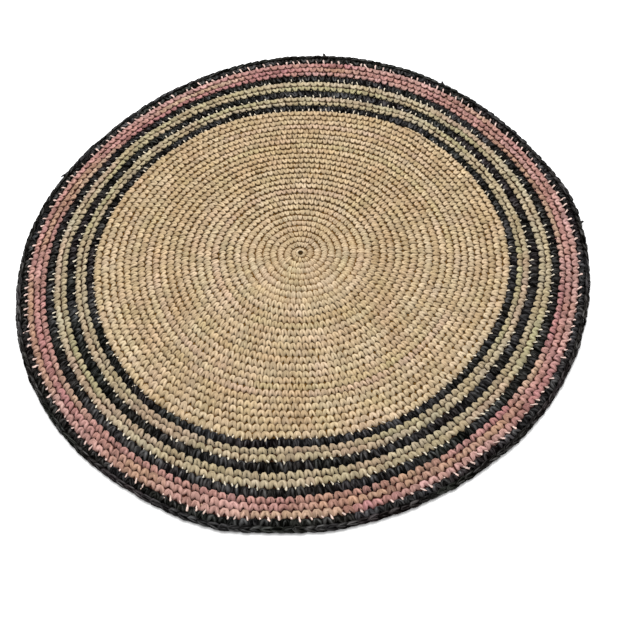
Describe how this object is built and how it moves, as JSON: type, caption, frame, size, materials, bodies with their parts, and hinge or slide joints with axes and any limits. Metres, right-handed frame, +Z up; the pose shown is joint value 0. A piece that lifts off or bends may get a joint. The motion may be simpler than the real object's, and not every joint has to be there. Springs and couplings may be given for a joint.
{
  "type": "crocheted raffia placemat",
  "caption": "Round flat placemat crocheted in raffia from the middle out, ribbed round by round, with dark and coloured bands near its edge.",
  "frame": {"origin": "on the flat underside, right below the small eye that the rounds start from, at the level of the surface that the mat lies on", "axes": "+Z up out of the ribbed top face; -Y towards the edge that faces the diner; X completes the set"},
  "size_m": [0.3803, 0.3845, 0.0034],
  "materials": {
    "natural_raffia": "undyed raffia leaf fibre, warm tan, dry with a slight waxy sheen",
    "black_raffia": "raffia dyed charcoal black, dull with a faint bluish cast",
    "pink_raffia": "raffia dyed salmon pink, faded unevenly towards tan"
  },
  "bodies": {
    "root": {"mat": "natural_raffia"}
  },
  "joints": []
}
